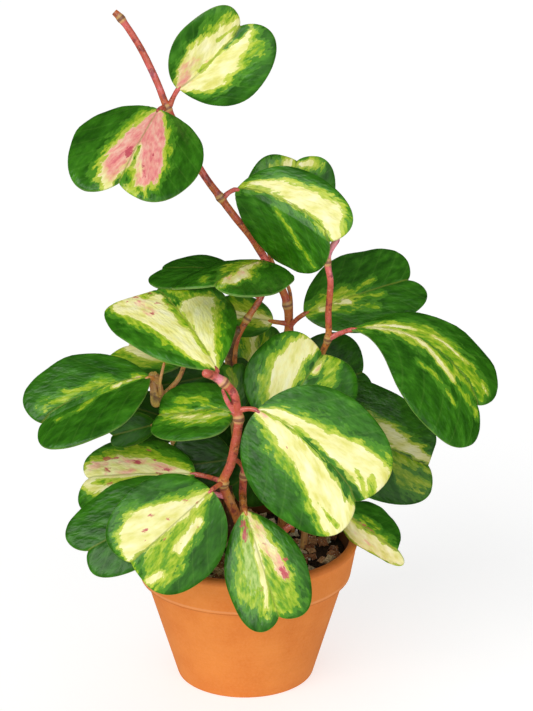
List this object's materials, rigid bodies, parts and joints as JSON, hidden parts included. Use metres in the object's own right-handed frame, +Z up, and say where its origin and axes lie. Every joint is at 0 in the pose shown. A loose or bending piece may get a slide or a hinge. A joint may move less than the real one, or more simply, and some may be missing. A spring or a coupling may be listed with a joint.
{
  "type": "potted variegated sweetheart hoya",
  "caption": "Climbing plant with thick heart-shaped leaves, cream in the middle and green at the edge, on knotty stems in a low terracotta pot that stands on a flat surface.",
  "frame": {"origin": "middle of the whole plant's footprint, at the height of the pot's underside", "axes": "+Z up, -Y is the front that most leaves look towards, +X to the right seen from the front"},
  "size_m": [0.3038, 0.193, 0.4557],
  "materials": {
    "terracotta": "unglazed, matt, finely mottled",
    "potting_mix": "dark crumbly peat with bark chunks and white perlite",
    "stem": "smooth, coral pink when young and tan brown when old",
    "leaf": "thick waxy leaf, green edge with cream, lime and pink middle"
  },
  "bodies": {
    "root": {"pot": "terracotta", "potting_mix": "potting_mix", "stem_tall": "stem", "stem_thin": "stem", "stem_middle": "stem", "stem_right": "stem", "stem_front": "stem", "stem_low": "stem", "stem_left": "stem", "stem_rim": "stem", "leaf_crown_right": "leaf", "leaf_crown_left": "leaf", "leaf_high_right": "leaf", "leaf_high_back": "leaf", "leaf_shelf_front": "leaf", "leaf_shelf_left": "leaf", "leaf_big_arch": "leaf", "leaf_far_left": "leaf", "leaf_left_back": "leaf", "leaf_middle_left": "leaf", "leaf_upright": "leaf", "leaf_big_front": "leaf", "leaf_right_back": "leaf", "leaf_right_droop": "leaf", "leaf_right_dark": "leaf", "leaf_low_right": "leaf", "leaf_over_rim_front": "leaf", "leaf_over_rim_left": "leaf", "leaf_low_left": "leaf", "leaf_low_left_back": "leaf", "leaf_small_dark": "leaf", "leaf_behind_stem": "leaf", "leaf_back_right": "leaf", "leaf_back_middle": "leaf", "leaf_inner": "leaf", "leaf_inner_left": "leaf", "leaf_inner_low": "leaf", "leaf_inner_right": "leaf", "leaf_inner_high": "leaf", "leaf_inner_back": "leaf", "leaf_rear_middle": "leaf", "leaf_rear_right": "leaf", "leaf_rear_left": "leaf", "leaf_rear_low": "leaf"}
  },
  "joints": []
}
